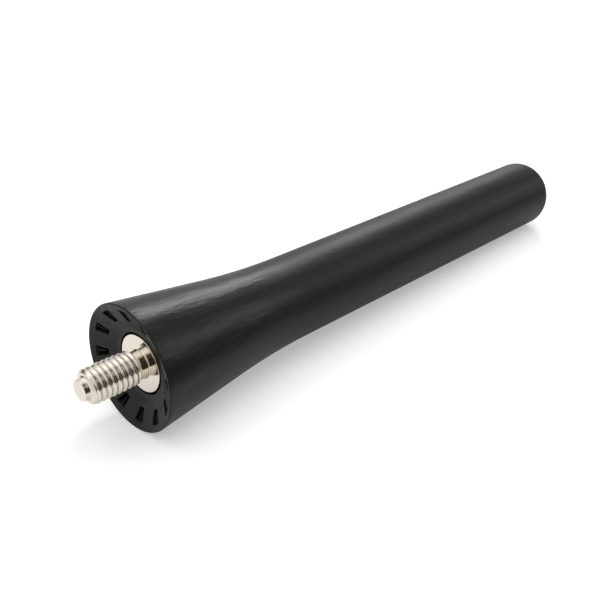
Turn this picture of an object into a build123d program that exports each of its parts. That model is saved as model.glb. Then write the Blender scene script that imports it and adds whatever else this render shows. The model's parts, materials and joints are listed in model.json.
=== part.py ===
"""Short flexible car mast aerial: a moulded rubber mast on a threaded stud.

The mast lies along +X with its stud pointing to -X, and +Z is up. The origin is on the mast's axis, in the
plane of the seat ring: the edge of the foot that sits on the car. All lengths are in millimetres.
"""

import os
from math import asin, degrees, sqrt

from build123d import *

# Mast and flared foot
mast_length = 100.3  # seat plane to tip
base_dia = 18.6  # foot, at the seat
root_dia = 13.2  # mast, where the flare ends
tip_dia = 12.8  # mast, at the tip
flare_length = 22.6  # seat plane to the corner of flare and mast
flare_blend = 125.0  # radius that rounds this corner
tip_corner = 3.0  # rounding between the mast's side and its end
tip_dome = 23.0  # radius of the slightly crowned end
rim_bevel = 0.1  # outer edge of the foot

# Dished seat
seat_width = 0.1  # flat ring that meets the car
dish_depth = 2.0  # seat plane to the flat ring round the flange
flange_ring = 0.6  # width of the flat ring round the flange
flange_gap = 0.3  # open groove between that ring and the flange

# Ring of pockets, each split by a short rib
pocket_count = 12
pocket_phase = -6.0  # degrees, first pocket from +Y towards +Z
pocket_rim = 1.0  # foot's outer edge to the pockets
pocket_length = 1.85  # along the radius
pocket_outer_width = 1.45
pocket_inner_width = 0.8
pocket_sink = 1.2  # pocket floor below the bottom of the dish
rib_width = 0.2
rib_length = 1.2  # from the pocket's outer end

# Stud: pilot, M5 thread, relief neck, flange, hexagonal shank and sleeve
stud_reach = 7.4  # seat plane to the pilot's end
pilot_dia = 3.0
pilot_length = 0.95
pilot_edge = 0.15
thread_dia = 5.0
thread_chamfer = 0.4
neck_dia = 4.1
neck_length = 1.35  # flange face to the first full thread
flange_dia = 8.4
flange_thickness = 1.2
flange_edge = 0.15
shank_sides = 6
shank_flats = 6.5  # across the flats
shank_length = 11.0
groove_dia = 5.8  # rubber keyed into this groove holds the stud
groove_width = 2.0
sleeve_length = 6.0
socket_depth = 9.0  # sleeve end to the socket's bottom

# Core rod and winding
rod_dia = 4.0
rod_tail = 2.0  # rod standing past the winding
wire_dia = 0.5  # one layer of turns
tip_wall = 6.0  # rubber past the rod's end

# Clearances
rod_fit = 0.05  # rod in its socket, and winding on the rod
mould_fit = 0.05  # rubber round what it is moulded on

# Radii
base_r = base_dia / 2
root_r = root_dia / 2
tip_r = tip_dia / 2
pilot_r = pilot_dia / 2
thread_r = thread_dia / 2
neck_r = neck_dia / 2
flange_r = flange_dia / 2
groove_r = groove_dia / 2
rod_r = rod_dia / 2
socket_r = rod_r + rod_fit
winding_r = socket_r + wire_dia
seat_inner_r = base_r - rim_bevel - seat_width
flange_pocket_r = flange_r + flange_gap
dish_inner_r = flange_pocket_r + flange_ring
rod_bore_r = rod_r + mould_fit
winding_bore_r = winding_r + mould_fit
shank_bore_r = groove_r + mould_fit
pocket_outer_r = base_r - pocket_rim

# Places along the axis
pilot_end = -stud_reach
thread_end = pilot_end + pilot_length
thread_start = dish_depth - neck_length
neck_start = thread_start + thread_r - neck_r
flange_back = dish_depth + flange_thickness
shank_end = flange_back + shank_length
groove_start = flange_back + (shank_length - groove_width) / 2
groove_end = groove_start + groove_width
sleeve_end = shank_end + sleeve_length
socket_bottom = sleeve_end - socket_depth
rod_end = mast_length - tip_wall
winding_end = rod_end - rod_tail
pocket_floor = dish_depth + pocket_sink
dome_centre = mast_length - tip_dome
tip_shoulder = dome_centre + sqrt(tip_dome**2 - tip_r**2)

# Rubber cover: turned section from the seat over the flare to the tip, and back down the stepped bore
with BuildPart() as mast_cover:
    with BuildSketch(Plane.XY) as cover_section:
        with BuildLine():
            Polyline((0, seat_inner_r), (0, base_r), (flare_length, root_r), (tip_shoulder, tip_r))
            CenterArc((dome_centre, 0), tip_dome, 0, degrees(asin(tip_r / tip_dome)))
            Polyline(
                (mast_length, 0),
                (rod_end + mould_fit, 0),
                (rod_end + mould_fit, rod_bore_r),
                (winding_end + mould_fit, rod_bore_r),
                (winding_end + mould_fit, winding_bore_r),
                (shank_end + mould_fit, winding_bore_r),
                (shank_end + mould_fit, shank_bore_r),
                (flange_back, shank_bore_r),
                (flange_back, flange_pocket_r),
                (dish_depth, flange_pocket_r),
                (dish_depth, dish_inner_r),
                (0, seat_inner_r),
            )
        make_face()
        chamfer(cover_section.vertices().sort_by_distance((0, base_r))[0], rim_bevel)
        fillet(cover_section.vertices().sort_by_distance((flare_length, root_r))[0], flare_blend)
        fillet(cover_section.vertices().sort_by_distance((tip_shoulder, tip_r))[0], tip_corner)
    revolve(axis=Axis.X)

    # Hexagonal seats for the stud's shank, on both sides of the rubber that fills its groove
    shank_seats = (
        (flange_back, groove_start + mould_fit),
        (groove_end - mould_fit, shank_end + mould_fit),
    )
    for seat_start, seat_end in shank_seats:
        with BuildSketch(Plane.YZ.offset(seat_start)):
            RegularPolygon(shank_flats / 2 + mould_fit, shank_sides, major_radius=False)
        extrude(amount=seat_end - seat_start, mode=Mode.SUBTRACT)

    # Ring of tapered pockets in the dish, each forked by a rib from its outer end
    with BuildSketch(Plane.YZ):
        with PolarLocations(pocket_outer_r - pocket_length / 2, pocket_count, pocket_phase):
            Polygon(
                (pocket_length / 2, pocket_outer_width / 2),
                (-pocket_length / 2, pocket_inner_width / 2),
                (-pocket_length / 2, -pocket_inner_width / 2),
                (pocket_length / 2, -pocket_outer_width / 2),
            )
        with PolarLocations(pocket_outer_r - rib_length / 2, pocket_count, pocket_phase):
            Rectangle(rib_length, rib_width, mode=Mode.SUBTRACT)
    extrude(amount=pocket_floor, mode=Mode.SUBTRACT)

# Stud: one turned piece, with two hexagonal collars beside the groove of its shank
with BuildPart() as threaded_stud:
    with BuildSketch(Plane.XY) as stud_section:
        with BuildLine():
            Polyline(
                (pilot_end, 0),
                (pilot_end, pilot_r),
                (thread_end, pilot_r),
                (thread_end, thread_r),
                (thread_start, thread_r),
                (neck_start, neck_r),
                (dish_depth, neck_r),
                (dish_depth, flange_r),
                (flange_back, flange_r),
                (flange_back, groove_r),
                (shank_end, groove_r),
                (shank_end, winding_r),
                (sleeve_end, winding_r),
                (sleeve_end, 0),
                close=True,
            )
        make_face()
        chamfer(stud_section.vertices().sort_by_distance((pilot_end, pilot_r))[0], pilot_edge)
        chamfer(stud_section.vertices().sort_by_distance((thread_end, thread_r))[0], thread_chamfer)
        chamfer(stud_section.vertices().sort_by_distance((dish_depth, flange_r))[0], flange_edge)
    revolve(axis=Axis.X)
    for collar_start, collar_end in ((flange_back, groove_start), (groove_end, shank_end)):
        with BuildSketch(Plane.YZ.offset(collar_start)):
            RegularPolygon(shank_flats / 2, shank_sides, major_radius=False)
        extrude(amount=collar_end - collar_start)

    # Socket for the core rod, down the sleeve and into the shank
    with BuildSketch(Plane.YZ.offset(socket_bottom)):
        Circle(socket_r)
    extrude(amount=socket_depth, mode=Mode.SUBTRACT)

# Core rod, standing on the bottom of the stud's socket
with BuildPart() as core_rod:
    with BuildSketch(Plane.YZ.offset(socket_bottom)):
        Circle(rod_r)
    extrude(amount=rod_end - socket_bottom)

# Winding: one close layer of turns on the rod, as thick as the sleeve and soldered to its end
with BuildPart() as antenna_winding:
    with BuildSketch(Plane.YZ.offset(sleeve_end)):
        Circle(winding_r)
        Circle(socket_r, mode=Mode.SUBTRACT)
    extrude(amount=winding_end - sleeve_end)

mast_cover.part.label = "mast_cover"
threaded_stud.part.label = "threaded_stud"
core_rod.part.label = "core_rod"
antenna_winding.part.label = "antenna_winding"

os.makedirs("parts", exist_ok=True)
export_step(mast_cover.part, "parts/mast_cover.step")
export_step(threaded_stud.part, "parts/threaded_stud.step")
export_step(core_rod.part, "parts/core_rod.step")
export_step(antenna_winding.part, "parts/antenna_winding.step")
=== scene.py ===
# %% [markdown]
# A short car mast aerial, dressed for its portrait. The real thing is a rubber mast with a flared foot,
# moulded round a nickel-plated stud that screws into a car's roof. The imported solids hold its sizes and
# stay in place as the frame. This lesson makes smoother surfaces for the rubber, the thread and the
# winding, and gives each piece its finish.

import json
import math

import bpy
import numpy as np
from mathutils import Matrix, Vector


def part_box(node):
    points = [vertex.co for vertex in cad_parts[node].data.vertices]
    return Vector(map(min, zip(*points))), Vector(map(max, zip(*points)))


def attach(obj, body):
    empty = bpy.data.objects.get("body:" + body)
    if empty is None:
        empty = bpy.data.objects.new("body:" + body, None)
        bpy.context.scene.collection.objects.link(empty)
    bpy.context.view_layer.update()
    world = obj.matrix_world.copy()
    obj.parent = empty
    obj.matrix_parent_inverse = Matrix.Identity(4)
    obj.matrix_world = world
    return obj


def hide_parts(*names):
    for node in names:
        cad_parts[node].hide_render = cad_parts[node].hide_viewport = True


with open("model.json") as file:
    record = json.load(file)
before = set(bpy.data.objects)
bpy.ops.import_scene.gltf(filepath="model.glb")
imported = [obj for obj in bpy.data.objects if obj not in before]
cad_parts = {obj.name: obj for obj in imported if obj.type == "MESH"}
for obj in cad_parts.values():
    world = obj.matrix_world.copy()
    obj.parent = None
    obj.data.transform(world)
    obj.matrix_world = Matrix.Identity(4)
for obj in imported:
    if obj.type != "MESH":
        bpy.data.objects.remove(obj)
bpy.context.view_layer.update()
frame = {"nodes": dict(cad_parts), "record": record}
print("frame nodes:", sorted(frame["nodes"]))

# %% [markdown]
# Every size is in millimetres, as on a drawing, and is turned into metres when a mesh is made. Lengths
# along the mast come from the frame's boxes. Radii are written out, because a box round a faceted solid is
# a little small.

# %% Sizes
MM = 0.001


def span(node):
    """Start and end of a node along the mast, in millimetres."""
    low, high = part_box(node)
    return low.x / MM, high.x / MM


mast_length = span("mast_cover")[1]
pilot_end, sleeve_end = span("threaded_stud")
socket_bottom, rod_end = span("core_rod")
winding_end = span("antenna_winding")[1]
thread_r = frame["record"]["mounts"][0]["dims"]["r_mm"]
base_r = 9.3
root_r = 6.6
tip_r = 6.4
dish_depth = 2.0
flange_r = 4.2
flange_back = 3.2
shank_end = 14.2
groove_start, groove_end = 7.7, 9.7
groove_r = 2.9
shank_apothem = 3.25
rod_r = 2.0
wire_r = 0.25
fit = 0.05
print("mast length", round(mast_length, 2), "mm, thread radius", thread_r, "mm")

# %% [markdown]
# Two helpers draw outlines. A turned or moulded piece is a profile of points (x, r) carried round the axis,
# so its corners are the only places that need care: `bend` rounds one with an arc that touches both of its
# legs.


# %% Outline helpers
def bend(corner, before, after, radius, steps):
    """Round a corner of a profile.

    The arc's centre lies on the corner's bisector, radius / sin(half angle) away, and the arc's points turn
    evenly from the leg towards `before` to the leg towards `after`.
    """
    corner, before, after = (np.asarray(point, float) for point in (corner, before, after))
    back = (before - corner) / np.linalg.norm(before - corner)
    ahead = (after - corner) / np.linalg.norm(after - corner)
    half = math.acos(back @ ahead) / 2
    middle = (back + ahead) / np.linalg.norm(back + ahead)
    centre = corner + middle * radius / math.sin(half)
    first = corner + back * radius / math.tan(half) - centre
    last = corner + ahead * radius / math.tan(half) - centre
    sweep = math.pi - 2 * half
    turn = np.linspace(0, sweep, steps)[:, None]
    return centre + (np.sin(sweep - turn) * first + np.sin(turn) * last) / math.sin(sweep)


def straight(start, end, steps):
    """Evenly spaced points from start to end."""
    return np.linspace(start, end, steps)


def arc(centre, radius, turn):
    """Points of a circle about a centre at these angles from the axis."""
    return np.asarray(centre) + radius * np.stack([np.cos(turn), np.sin(turn)], axis=-1)


def hexagon(apothem, angle):
    """Radius of a hexagon at an angle: apothem / cos(angle from the middle of the nearest flat)."""
    return apothem / np.cos(np.mod(angle, math.pi / 3) - math.pi / 6)


def turned(x, r, angle):
    """Points of a grid given by place along the axis, radius and angle, with the angle from +Y towards +Z."""
    x, r, angle = np.broadcast_arrays(x, r, angle)
    return np.stack([x, r * np.cos(angle), r * np.sin(angle)], axis=-1)


# %% [markdown]
# One more helper turns a grid of points into a closed mesh. Each row of the grid is a ring that closes on
# itself, neighbouring rings are joined by quads, and a fan of triangles to a pole closes each end. The
# signed volume tells whether the faces look outwards. Edges sharper than a given angle stay crisp, and all
# others shade smoothly.


# %% Mesh helper
def skin(name, rings, start, end, crisp):
    """Closed mesh of rings of points in millimetres between two poles.

    Ring i and column j are vertex i * columns + j. The two poles are the last vertices.
    """
    count, columns = rings.shape[:2]
    points = np.vstack([rings.reshape(-1, 3), start, end]) * MM
    here = np.arange(count * columns).reshape(count, columns)
    beside = np.roll(here, -1, axis=1)
    quads = np.stack([here[:-1], beside[:-1], beside[1:], here[1:]], axis=-1).reshape(-1, 4)
    first = np.stack([beside[0], here[0], np.full(columns, count * columns)], axis=-1)
    last = np.stack([here[-1], beside[-1], np.full(columns, count * columns + 1)], axis=-1)
    corners = np.vstack([quads[:, [0, 1, 2]], quads[:, [0, 2, 3]], first, last])
    a, b, c = (points[corners[:, k]] for k in range(3))
    volume = np.einsum("ij,ij->", a, np.cross(b, c)) / 6
    mesh = bpy.data.meshes.new(name)
    mesh.from_pydata(points, [], quads.tolist() + first.tolist() + last.tolist())
    if volume < 0:
        mesh.flip_normals()
    mesh.shade_smooth()
    mesh.set_sharp_from_angle(angle=crisp)
    print(name, len(corners), "triangles,", round(abs(volume) / MM**3, 1), "cubic mm")
    return mesh


def place(name, mesh, node, finish):
    """Show a mesh as the piece that stands for a node of the frame."""
    piece = bpy.data.objects.new(name, mesh)
    bpy.context.scene.collection.objects.link(piece)
    mesh.materials.append(finish)
    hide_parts(node)
    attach(piece, "root")


# %% [markdown]
# Finishes are made of shader nodes. The class below wraps one output socket, so that `0.4 + 0.1 * grain`
# adds the Math nodes by itself. Its one method for other nodes takes a type, its settings, and the values
# or links of its sockets.


# %% Shader helper
class Field:
    """A value that varies over a surface: an output socket that takes part in Python expressions."""

    def __init__(self, tree, socket=None):
        self.tree = tree
        self.socket = socket

    def node(self, kind, settings=None, sockets=None, output=0):
        """Add a node, set its settings, give each named socket its value or link, and return an output."""
        made = self.tree.nodes.new(kind)
        for key, value in (settings or {}).items():
            setattr(made, key, value)
        for key, value in (sockets or {}).items():
            if isinstance(value, Field):
                self.tree.links.new(value.socket, made.inputs[key])
            else:
                made.inputs[key].default_value = value
        return Field(self.tree, made.outputs[output] if made.outputs else None)

    def math(self, operation, first, second=0.0):
        return self.node("ShaderNodeMath", {"operation": operation}, {0: first, 1: second})

    def __add__(self, other):
        return self.math("ADD", self, other)

    def __mul__(self, other):
        return self.math("MULTIPLY", self, other)

    def __rsub__(self, other):
        return self.math("SUBTRACT", other, self)

    __radd__ = __add__
    __rmul__ = __mul__

    def smooth(self, low, high):
        """0 below low, 1 above high, and a soft step between them."""
        settings = {"interpolation_type": "SMOOTHSTEP"}
        return self.node("ShaderNodeMapRange", settings, {"Value": self, "From Min": low, "From Max": high})

    def between(self, low, high):
        """A colour mixed from two, by this value."""
        sockets = {"Factor": self, 6: low, 7: high}
        return self.node("ShaderNodeMix", {"data_type": "RGBA"}, sockets, output=2)


def blank(name):
    """An empty material and the start of its node expressions."""
    material = bpy.data.materials.new(name)
    material.use_nodes = True
    material.node_tree.nodes.clear()
    return material, Field(material.node_tree)


def noise(at, scale, detail=3.0, stretch=(1, 1, 1)):
    """Soft noise from 0 to 1 on object coordinates: so many bumps to a metre, stretched along an axis."""
    sized = at.node("ShaderNodeMapping", None, {"Vector": at, "Scale": [scale * part for part in stretch]})
    return at.node("ShaderNodeTexNoise", None, {"Vector": sized, "Scale": 1.0, "Detail": detail})


def relief(height, depth):
    """Normal of a surface whose height field is so deep, in metres."""
    return height.node("ShaderNodeBump", None, {"Height": height, "Strength": 1.0, "Distance": depth})


def rays(shade):
    """Whether a ray comes from the camera, and whether it was mirrored or passed through something clear."""
    path = shade.node("ShaderNodeLightPath").socket.node
    keys = ("Is Camera Ray", "Is Glossy Ray", "Is Transmission Ray")
    camera_ray, glossy, clear = (Field(shade.tree, path.outputs[key]) for key in keys)
    return camera_ray, glossy + clear


def surface(shade, material, **sockets):
    """Finish a material: one Principled shader with the given sockets, into the output."""
    named = {key.replace("_", " "): value for key, value in sockets.items()}
    body = shade.node("ShaderNodeBsdfPrincipled", None, named)
    shade.node("ShaderNodeOutputMaterial", None, {"Surface": body})
    return material


# %% [markdown]
# The cover is satin black rubber. Up close it isn't even: the mould leaves a fine grain, and the rubber has
# soft waves where it shrank, which break up the long highlight. The thick foot shrank most and is shinier,
# so the waves and the gloss fade towards the mast, where the grain shows more. Waves and grain are relief.
# The tone and the gloss wander a little with noise.


# %% Rubber finish
foot_to_mast = (0.016, 0.034)
rubber_depth = 0.00022
rubber_dark = (0.0078, 0.0078, 0.0075, 1)
rubber_pale = (0.0135, 0.0135, 0.013, 1)


def rubber_finish():
    """Black rubber: dark base, wandering gloss, fine grain over long soft waves."""
    material, shade = blank("cover_rubber")
    at = shade.node("ShaderNodeTexCoord", output="Object")
    waves = noise(at, 380.0, stretch=(0.3, 1, 1))
    grain = noise(at, 2600.0)
    blotch = noise(at, 160.0, detail=4.0, stretch=(0.4, 1, 1))
    mast = at.node("ShaderNodeSeparateXYZ", None, {"Vector": at}).smooth(*foot_to_mast)
    height = (0.9 - 0.4 * mast) * waves + (0.06 + 0.1 * mast) * grain
    return surface(
        shade,
        material,
        Base_Color=blotch.between(rubber_dark, rubber_pale),
        Roughness=0.34 + 0.12 * blotch + 0.1 * mast,
        Specular_IOR_Level=0.24,
        Normal=relief(height, rubber_depth),
    )


rubber = rubber_finish()
print("finish:", rubber.name)

# %% [markdown]
# The stud is turned brass with bright nickel plate, a warm white metal. The turned flange and neck mirror
# the room clearly. The rolled thread is duller, so the roughness steps up where the thread begins. A faint
# cloud in the colour and the gloss keeps the plate from looking painted.


# %% Nickel finish
thread_to_neck = (0.0009, 0.0012)
plate_depth = 0.000004
nickel_dark = (0.76, 0.70, 0.61, 1)
nickel_pale = (0.81, 0.755, 0.66, 1)


def nickel_finish():
    """Nickel plate: warm metal with a soft unevenness, duller on the thread."""
    material, shade = blank("nickel_plate")
    at = shade.node("ShaderNodeTexCoord", output="Object")
    cloud = noise(at, 900.0)
    fine = noise(at, 6000.0, detail=2.0)
    along = at.node("ShaderNodeSeparateXYZ", None, {"Vector": at})
    rolled = 1 - along.smooth(*thread_to_neck)
    return surface(
        shade,
        material,
        Base_Color=cloud.between(nickel_dark, nickel_pale),
        Metallic=1.0,
        Roughness=0.09 + 0.06 * cloud + 0.12 * rolled,
        Normal=relief(fine, plate_depth),
    )


nickel = nickel_finish()
print("finish:", nickel.name)

# %% [markdown]
# Inside the rubber lie two pieces that only show when the mast is cut open: the glass-fibre rod, pale and
# streaked along its length, and the copper wire under its clear enamel.


# %% Inner finishes
fibre_depth = 0.00002
fibre_dark = (0.62, 0.59, 0.47, 1)
fibre_pale = (0.80, 0.78, 0.68, 1)
copper_dark = (0.66, 0.30, 0.15, 1)
copper_pale = (0.78, 0.42, 0.26, 1)


def fibre_finish():
    """Glass fibre in resin: pale, with streaks along the rod."""
    material, shade = blank("rod_fibre")
    at = shade.node("ShaderNodeTexCoord", output="Object")
    streaks = noise(at, 5000.0, detail=2.0, stretch=(0.02, 1, 1))
    return surface(
        shade,
        material,
        Base_Color=streaks.between(fibre_dark, fibre_pale),
        Roughness=0.38 + 0.2 * streaks,
        Normal=relief(streaks, fibre_depth),
    )


def copper_finish():
    """Enamelled copper: red metal under a clear coat."""
    material, shade = blank("winding_copper")
    at = shade.node("ShaderNodeTexCoord", output="Object")
    cloud = noise(at, 700.0)
    return surface(
        shade,
        material,
        Base_Color=cloud.between(copper_dark, copper_pale),
        Metallic=1.0,
        Roughness=0.22 + 0.12 * cloud,
        Coat_Weight=0.6,
        Coat_Roughness=0.08,
    )


fibre = fibre_finish()
copper = copper_finish()
print("finishes:", fibre.name, copper.name)

# %% [markdown]
# The foot of the cover is the part with the most to see: a shallow dish, a flat ring round the stud's
# flange, and twelve pockets with a thin rib in each, sunk a little below the dish. A boolean cut would
# leave ragged triangles, so the pockets are written as a depth over the dish. `inside` measures how far a
# point lies inside the cut, and the depth follows from it: a small round at the edge, then a steep wall
# down to the floor. The grid's lines follow the pockets' sides.

# %% Pocket sizes
pocket_count = 12
pocket_phase = math.radians(-6.0)
pocket_in, pocket_out = 6.45, 8.3
pocket_half_in, pocket_half_out = 0.43, 0.86
pocket_floor = 3.2
rib_half = 0.08
rib_drop = 0.2
rib_in = 7.1
edge_round = 0.05
wall_run = 0.012
near_edge = np.array([-wall_run, 0.0, edge_round / 3, edge_round])
seat_in = 9.1
dish_in = 5.1
sector = 2 * math.pi / pocket_count


def pocket_half(r):
    """Half the width of a pocket at a radius: a straight taper between its two ends."""
    share = (r - pocket_in) / (pocket_out - pocket_in)
    return pocket_half_in + (pocket_half_out - pocket_half_in) * share


def pocket_angles(r):
    """Angles of the grid's columns on rings of these radii, one row for each ring.

    Half a sector runs from the rib's middle over the rib's edge, the pocket's floor and the pocket's edge to
    the land between two pockets. The other half is its mirror image. The sector is repeated round the dish.
    """
    r = np.clip(np.asarray(r, float), pocket_in - edge_round, pocket_out + edge_round)[:, None]
    half = pocket_half(r)
    rib = np.array([0.0, rib_half - edge_round, rib_half - edge_round / 3, rib_half, rib_half + wall_run])
    floor_share = np.array([1 / 3, 2 / 3])
    land_share = np.linspace(0, 1, 7)[1:]
    floor = rib[-1] + (half - wall_run - rib[-1]) * floor_share
    across = np.hstack([np.broadcast_to(rib, (len(r), len(rib))), floor, half + near_edge]) / r
    last = across[:, -1:]
    across = np.hstack([across, last + (sector / 2 - last) * land_share])
    whole = np.hstack([-across[:, :0:-1], across[:, :-1]])
    centres = pocket_phase + sector * np.arange(pocket_count)
    return (centres[None, :, None] + whole[:, None, :]).reshape(len(r), -1), np.tile(whole, pocket_count)


def dish_place(r):
    """Place of the dish along the axis at a radius: a cone from the seat to the ring round the flange."""
    return dish_depth * (seat_in - r) / (seat_in - dish_in)


def pocket_place(r, offset):
    """Place along the axis of the dish with its pockets, at a radius and an angle from the pocket's middle.

    `inside` is the distance into the cut: into the pocket, and out of the rib. Across the edge the surface
    follows a quarter circle, and past the wall's short run it lies on the pocket's floor. The top of the rib
    lies a small drop below the dish.
    """
    across = np.abs(offset) * r
    into_pocket = np.minimum(np.minimum(r - pocket_in, pocket_out - r), pocket_half(r) - across)
    into_rib = np.minimum(r - rib_in, rib_half - across)
    inside = np.minimum(into_pocket, -into_rib)
    over = np.clip(inside + edge_round, 0, edge_round)
    rounded = dish_place(r) + edge_round - np.sqrt(edge_round**2 - over**2)
    rounded = rounded + np.where(into_pocket > wall_run / 2, rib_drop, 0)
    return np.where(inside > wall_run / 2, pocket_floor, rounded)


print("pockets:", pocket_count, "columns round the cover:", pocket_angles([pocket_in])[0].shape[1])

# %% [markdown]
# The rest of the cover is one long profile, from the end of the bore in the tip, down the bore, over the
# foot and back along the outside to the tip. The flare meets the mast in a very long blend, and the tip is
# slightly crowned.

# %% Cover profile
flare_length = 22.6
flare_blend = 125.0
tip_corner = 3.0
tip_dome = 23.0
rim_round = 0.18
ring_round = 0.1
cover_crisp = math.radians(40)
edge_steps = 5
rim_steps = 9
flare_steps = 16
blend_steps = 28
mast_steps = 36
corner_steps = 16
crown_steps = 9
bore_r = rod_r + fit
winding_bore_r = rod_r + fit + 2 * wire_r + fit
groove_bore_r = groove_r + fit
well_r = 4.5

seat_corner = (0.0, base_r)
flare_corner = (flare_length, root_r)
dome_centre = mast_length - tip_dome
corner_r = tip_r - tip_corner
corner_x = dome_centre + math.sqrt((tip_dome - tip_corner) ** 2 - corner_r**2)
dome_turn = math.atan2(corner_r, corner_x - dome_centre)

bore = np.array(
    [
        (rod_end + fit, bore_r),
        (winding_end + fit, bore_r),
        (winding_end + fit, winding_bore_r),
        (shank_end + fit, winding_bore_r),
        (shank_end + fit, shank_apothem),
        (groove_end - fit, shank_apothem),
        (groove_end - fit, groove_bore_r),
        (groove_start + fit, groove_bore_r),
        (groove_start + fit, shank_apothem),
        (flange_back, shank_apothem),
        (flange_back, well_r),
    ]
)
hexed = np.isclose(bore[:, 1], shank_apothem)
ring = bend((dish_depth, well_r), (flange_back, well_r), (dish_depth, dish_in), ring_round, edge_steps)

dish_r = np.hstack(
    [
        np.linspace(dish_in, pocket_in - edge_round, 8)[:-1],
        pocket_in - near_edge[::-1],
        np.linspace(pocket_in + wall_run, rib_in - wall_run, 4)[1:],
        rib_in + near_edge[1:],
        np.linspace(rib_in + edge_round, pocket_out - wall_run, 7)[1:],
        pocket_out + near_edge[1:],
        np.linspace(pocket_out + edge_round, seat_in, 6)[1:],
    ]
)

rim = bend(seat_corner, (0.0, seat_in), flare_corner, rim_round, rim_steps)
blend = bend(flare_corner, seat_corner, (corner_x, tip_r), flare_blend, blend_steps)
corner_turn = np.linspace(math.pi / 2, dome_turn, corner_steps)
crown_turn = np.linspace(dome_turn, 0, crown_steps)[1:-1]
outside = np.vstack(
    [
        rim,
        straight(rim[-1], blend[0], flare_steps)[1:-1],
        blend,
        straight(blend[-1], (corner_x, tip_r), mast_steps)[1:-1],
        arc((corner_x, corner_r), tip_corner, corner_turn),
        arc((dome_centre, 0.0), tip_dome, crown_turn),
    ]
)
print("profile rows:", len(bore) + len(ring) + len(dish_r) + len(outside))

# %% [markdown]
# Carried round the axis, the four stretches of the profile become rings. In the bore, some rings are
# hexagons that hold the stud's shank. On the dish, the place along the axis comes from the pockets.


# %% Cover
def cover_rings():
    """Rings of the whole cover: bore, ring round the flange, dish with pockets, and outside."""
    plain = np.vstack([bore, ring])
    angle, _ = pocket_angles(plain[:, 1])
    radius = np.broadcast_to(plain[:, 1:], angle.shape).copy()
    radius[: len(bore)][hexed] = hexagon(shank_apothem + fit, angle[: len(bore)][hexed])
    inner = turned(plain[:, :1], radius, angle)
    angle, offset = pocket_angles(dish_r)
    dish = turned(pocket_place(dish_r[:, None], offset), dish_r[:, None], angle)
    angle, _ = pocket_angles(np.full(len(outside), base_r))
    outer = turned(outside[:, :1], outside[:, 1:], angle)
    return np.concatenate([inner, dish, outer])


cover_mesh = skin(
    "rubber_cover",
    cover_rings(),
    (rod_end + fit, 0, 0),
    (mast_length, 0, 0),
    cover_crisp,
)
place("rubber_cover", cover_mesh, "mast_cover", rubber)

# %% [markdown]
# The thread is real relief, because it catches the light crest by crest. Its surface is a radius over place
# and angle. The distance to the nearest crest of a right-hand helix sets the drop below the crest: a round
# crest runs into a straight flank, and a soft limit makes the root, as on a rolled thread under plate. A
# cone at each end cuts the thread off.

# %% Thread
pitch = 0.8
crest_place = 0.23
crest_round = 0.08
thread_depth = 0.3
flank = 0.88
softness = 0.05
pilot_r = 1.5
pilot_bevel = 0.1
pilot_root = 0.55
thread_end = -6.45
thread_chamfer = 0.4
neck_r = 2.05
neck_start = 0.8
thread_columns = 144
thread_step = 0.025


def soft_least(a, b, width):
    """The smaller of two values, with the corner between them rounded over a width."""
    return (a + b - np.sqrt((a - b) ** 2 + width**2)) / 2


def thread_radius(x, angle):
    """Radius of the threaded length at a place and an angle.

    From the middle of a crest the radius falls by a hyperbola: the root of the distance squared plus the
    roundness squared, less the roundness, times the flank's slope. A soft limit ends it at the root. The
    cones at the end and at the neck both rise at 45 degrees.
    """
    turn = (x - crest_place) / pitch - angle / (2 * math.pi)
    from_crest = np.abs(turn - np.round(turn)) * pitch
    drop = (np.sqrt(from_crest**2 + crest_round**2) - crest_round) * flank
    radius = thread_r - soft_least(drop, thread_depth, softness)
    end_cone = thread_r - thread_chamfer + x - thread_end
    neck_cone = neck_r + neck_start - x
    return np.minimum(radius, np.minimum(end_cone, neck_cone))


print("turns of thread:", round((neck_start - thread_end) / pitch, 1))

# %% [markdown]
# The stud is one turned profile with the threaded length in its middle: the pilot point with a hollow at
# its root, the thread, the relief neck with a fine fillet, the flange that shows in the foot, and then the
# hidden hexagonal shank and the sleeve with its socket.

# %% Stud
face_core = 0.3
flange_bevel = 0.05
neck_root = 0.14
thread_gap = 0.02
neck_gap = 0.05
stud_crisp = math.radians(50)
short_steps = 4
long_steps = 10
socket_r = rod_r + fit
sleeve_r = rod_r + fit + 2 * wire_r

pilot = np.vstack(
    [
        straight((pilot_end, face_core), (pilot_end, pilot_r - pilot_bevel), short_steps)[:-1],
        bend((pilot_end, pilot_r), (pilot_end, 0), (thread_end, pilot_r), pilot_bevel, edge_steps),
        bend((thread_end, pilot_r), (pilot_end, pilot_r), (thread_end, thread_r), pilot_root, long_steps),
        [(thread_end, thread_r - thread_chamfer - thread_gap)],
    ]
)
neck = np.vstack(
    [
        straight((neck_start + neck_gap, neck_r), (dish_depth - 2 * neck_root, neck_r), short_steps),
        bend((dish_depth, neck_r), (0, neck_r), (dish_depth, flange_r), neck_root, edge_steps),
        straight((dish_depth, neck_r + 2 * neck_root), (dish_depth, flange_r - 2 * flange_bevel), long_steps),
        bend((dish_depth, flange_r), (dish_depth, 0), (flange_back, flange_r), flange_bevel, edge_steps),
        [(flange_back, flange_r)],
    ]
)
shank = np.array(
    [
        (flange_back, shank_apothem),
        (groove_start, shank_apothem),
        (groove_start, groove_r),
        (groove_end, groove_r),
        (groove_end, shank_apothem),
        (shank_end, shank_apothem),
        (shank_end, sleeve_r),
        (sleeve_end, sleeve_r),
        (sleeve_end, socket_r),
        (socket_bottom, socket_r),
    ]
)


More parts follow.
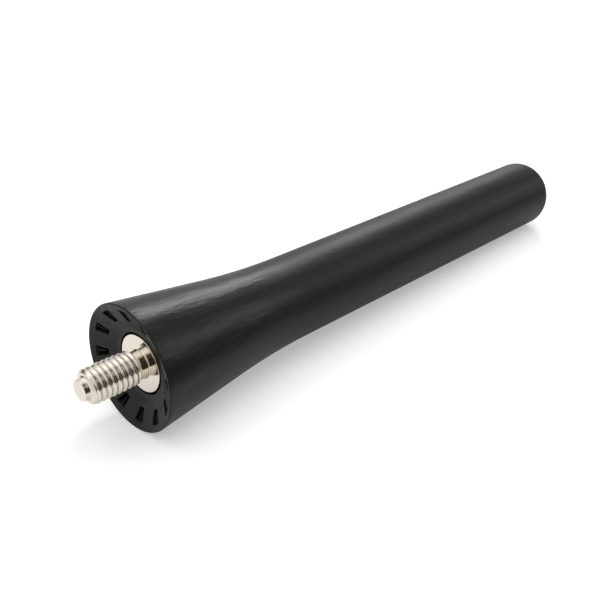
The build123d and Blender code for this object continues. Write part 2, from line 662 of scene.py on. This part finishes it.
def stud_rings():
    """Rings of the stud: pilot, thread, neck with flange, and the hidden shank."""
    angle = np.linspace(0, 2 * math.pi, thread_columns, endpoint=False)[None, :]
    place_along = np.arange(thread_end, neck_start, thread_step)[:, None]
    shank_r = np.broadcast_to(shank[:, 1:], (len(shank), thread_columns)).copy()
    on_flats = np.isclose(shank[:, 1], shank_apothem)
    shank_r[on_flats] = hexagon(shank_apothem, angle)
    return np.concatenate(
        [
            turned(pilot[:, :1], pilot[:, 1:], angle),
            turned(place_along, thread_radius(place_along, angle), angle),
            turned(neck[:, :1], neck[:, 1:], angle),
            turned(shank[:, :1], shank_r, angle),
        ]
    )


stud_mesh = skin(
    "plated_stud",
    stud_rings(),
    (pilot_end, 0, 0),
    (socket_bottom, 0, 0),
    stud_crisp,
)
place("plated_stud", stud_mesh, "threaded_stud", nickel)

# %% [markdown]
# The winding is one wire in close turns. Its centre line is a helix, and its skin is a small circle carried
# along that line, so two numbers say where each point is: how far along the wire, and how far round it.

# %% Winding
turn_steps = 20
wire_columns = 8
wire_crisp = math.radians(60)


def winding_rings():
    """Rings of the wire and the two ends of its centre line.

    The circle of the wire is spanned by the direction out from the mast's axis and by the one square to it
    and to the wire's own direction.
    """
    helix_r = rod_r + fit + wire_r
    start, end = sleeve_end + wire_r, winding_end - wire_r
    turns = math.floor((end - start) / (2 * wire_r))
    share = np.linspace(0, 1, turns * turn_steps + 1)[:, None]
    angle = 2 * math.pi * turns * share
    line = turned(start + (end - start) * share, helix_r, angle)[:, 0]
    outward = turned(0.0, 1.0, angle)[:, 0]
    along = np.gradient(line, axis=0)
    along /= np.linalg.norm(along, axis=1)[:, None]
    sideways = np.cross(along, outward)
    around = np.linspace(0, 2 * math.pi, wire_columns, endpoint=False)[None, :, None]
    rings = line[:, None] + wire_r * (np.cos(around) * outward[:, None] + np.sin(around) * sideways[:, None])
    return rings, line[0], line[-1]


wire_mesh = skin("wound_wire", *winding_rings(), wire_crisp)
place("wound_wire", wire_mesh, "antenna_winding", copper)

# %% [markdown]
# The rod is a plain cylinder inside, so its own solid stays and only gets the fibre finish.

# %% Rod
rod = frame["nodes"]["core_rod"]
rod.data.materials.clear()
rod.data.materials.append(fibre)
print("rod from", round(socket_bottom, 2), "to", round(rod_end, 2), "mm")

# %% [markdown]
# On a table the aerial lies on two points: the rim of its foot and the edge of its tip. The mast is thinner
# than the foot, so the table leans a little against the mast's axis. The lean is the least slope from the
# foot's lowest point to any other point of the outline. The white sheet ends a little in front of the mast,
# and past it the stud mirrors the dark room. Far from the aerial, the camera sees the sheet as white as the
# background.

# %% Floor
foot = int(np.argmax(outside[:, 1]))
beyond = outside[outside[:, 0] > flare_length]
lean = math.atan(np.min((outside[foot, 1] - beyond[:, 1]) / (beyond[:, 0] - outside[foot, 0])))
floor_along = Vector((math.cos(lean), 0, math.sin(lean)))
floor_across = Vector((0, 1, 0))
floor_up = Vector((-math.sin(lean), 0, math.cos(lean)))
touch = Vector((outside[foot, 0], 0, -outside[foot, 1])) * MM
sheet_along = (-0.5, 0.6)
sheet_across = (-0.032, 1.0)
sheet_white = (0.7, 0.7, 0.7, 1)
white = (1, 1, 1, 1)
camera_lift = 0.38
far_lift = 0.6
mirror_lift = 0.18
far_from = (0.1, 0.22)


def floor_finish():
    """White table: lifted to white for the camera, most of all far away, and a little in mirrors."""
    material, shade = blank("white_table")
    camera_ray, mirrored = rays(shade)
    at = shade.node("ShaderNodeTexCoord", output="Object")
    ends = {0: at, 1: (mast_length / 2 * MM, 0, -base_r * MM)}
    distance = shade.node("ShaderNodeVectorMath", {"operation": "DISTANCE"}, ends, output="Value")
    strength = (camera_lift + far_lift * distance.smooth(*far_from)) * camera_ray + mirror_lift * mirrored
    plain = shade.node("ShaderNodeBsdfDiffuse", None, {"Color": sheet_white})
    glow = shade.node("ShaderNodeEmission", None, {"Color": white, "Strength": strength})
    both = shade.node("ShaderNodeAddShader", None, {0: plain, 1: glow})
    shade.node("ShaderNodeOutputMaterial", None, {"Surface": both})
    return material


around = ((0, 0), (1, 0), (1, 1), (0, 1))
corners = [touch + sheet_along[a] * floor_along + sheet_across[b] * floor_across for a, b in around]
floor_mesh = bpy.data.meshes.new("table")
floor_mesh.from_pydata(corners, [], [(0, 1, 2, 3)])
floor_mesh.materials.append(floor_finish())
table = bpy.data.objects.new("table", floor_mesh)
bpy.context.scene.collection.objects.link(table)
print("table leans", round(math.degrees(lean), 2), "degrees to the mast")

# %% [markdown]
# The camera looks down on the foot from the front left. Its lens and place were found by matching the
# outline of the foot, the flange and the tip with the photograph: the seat's centre lies so far in front of
# the lens, and falls on a known spot of the picture.

# %% Camera
picture = 600
focal = 820.0
seat_spot = (127.76, 369.29)
seat_distance = 108.87 * MM
azimuth, elevation = math.radians(-45.51), math.radians(29.19)

level = math.sin(azimuth) * floor_along - math.cos(azimuth) * floor_across
to_camera = math.cos(elevation) * level + math.sin(elevation) * floor_up
rightward = floor_up.cross(to_camera).normalized()
upward = to_camera.cross(rightward)
spot_right = (seat_spot[0] - picture / 2) / focal
spot_up = (picture / 2 - seat_spot[1]) / focal
camera_place = seat_distance * (to_camera - spot_right * rightward - spot_up * upward)

lens = bpy.data.cameras.new("camera")
lens.sensor_width = 36.0
lens.lens = lens.sensor_width * focal / picture
lens.clip_start = 0.005
camera = bpy.data.objects.new("camera", lens)
axes = Matrix((rightward, upward, to_camera)).transposed()
camera.matrix_world = Matrix.Translation(camera_place) @ axes.to_4x4()
bpy.context.scene.collection.objects.link(camera)
bpy.context.scene.camera = camera
print("camera at", [round(value / MM, 1) for value in camera_place], "mm")

# %% [markdown]
# The studio is what the nickel and the rubber mirror: a white sweep behind the aerial, a low white wall at
# the left, a ceiling panel over the back and a small card over the front. The rest is a dim, warm room,
# which makes the brown bands on the stud. The camera sees plain white. Of all this, only the wall and the
# room also light the aerial.

# %% World
world = bpy.data.worlds.new("studio")
bpy.context.scene.world = world
world.use_nodes = True
world.node_tree.nodes.clear()
room = Field(world.node_tree)
direction = room.node("ShaderNodeTexCoord", output="Generated")
away = -level.normalized()
room_light = 0.03
wall_light = 0.9
sweep_light = 0.68
ceiling_light = 1.1
card_light = 0.9
room_tone = (1, 0.62, 0.4, 1)
background_white = 1.05


def toward(aim):
    """How far the ray's direction agrees with another one: the cosine of the angle between them."""
    sockets = {0: direction, 1: Vector(aim).normalized()}
    return room.node("ShaderNodeVectorMath", {"operation": "DOT_PRODUCT"}, sockets, output="Value")


camera_ray, mirrored = rays(room)
sweep = toward(away).smooth(0.35, 0.85) * (1 - toward(floor_up).smooth(0.3, 0.6))
wall = toward((-1, 0.05, 0.25)).smooth(0.62, 0.88)
ceiling = toward((-0.1, 0.45, 0.88)).smooth(0.65, 0.92)
card = toward((-0.05, -0.62, 0.78)).smooth(0.94, 0.98)
panels = sweep_light * sweep + ceiling_light * ceiling + card_light * card
glow = room_light + wall_light * wall + panels * mirrored
strength = background_white * camera_ray + (1 - camera_ray) * glow
tone = strength.smooth(room_light, 0.5).between(room_tone, white)
background = room.node("ShaderNodeBackground", None, {"Color": tone, "Strength": strength})
room.node("ShaderNodeOutputWorld", None, {"Surface": background})
print("world:", world.name, "with", len(world.node_tree.nodes), "nodes")

# %% [markdown]
# Three soft lamps make the highlights and the shadow. A window at the back right draws the long highlight
# on the mast's shoulder, and a card at the right its second, weaker stripe. A large dome overhead gives the
# broad, soft shadow. Mirrors don't show the dome, because the ceiling panel stands for it.


# %% Lamps
def lamp(name, aim, distance, size, power, shows=True):
    """A square soft lamp in a direction from the middle of the mast, facing it, that mirrors may show."""
    light = bpy.data.lights.new(name, "AREA")
    light.size = size
    light.energy = power
    holder = bpy.data.objects.new(name, light)
    holder.visible_glossy = shows
    middle = Vector((mast_length / 2 * MM, 0, 0))
    aim = Vector(aim).normalized()
    holder.location = middle + aim * distance
    holder.rotation_mode = "QUATERNION"
    holder.rotation_quaternion = aim.to_track_quat("Z", "Y")
    bpy.context.scene.collection.objects.link(holder)


lamp("back_window", (0.645, 0.455, 0.614), distance=1.5, size=0.3, power=8.0)
lamp("dome", (-0.05, 0, 1), distance=1.0, size=1.6, power=15.0, shows=False)
lamp("side_card", (0.72, -0.53, 0.45), distance=1.5, size=0.5, power=4.2)
print("lamps:", sorted(light.name for light in bpy.data.lights))

# %% [markdown]
# Last come the picture's colour settings.

# %% Finish
bpy.context.scene.view_settings.view_transform = "Standard"
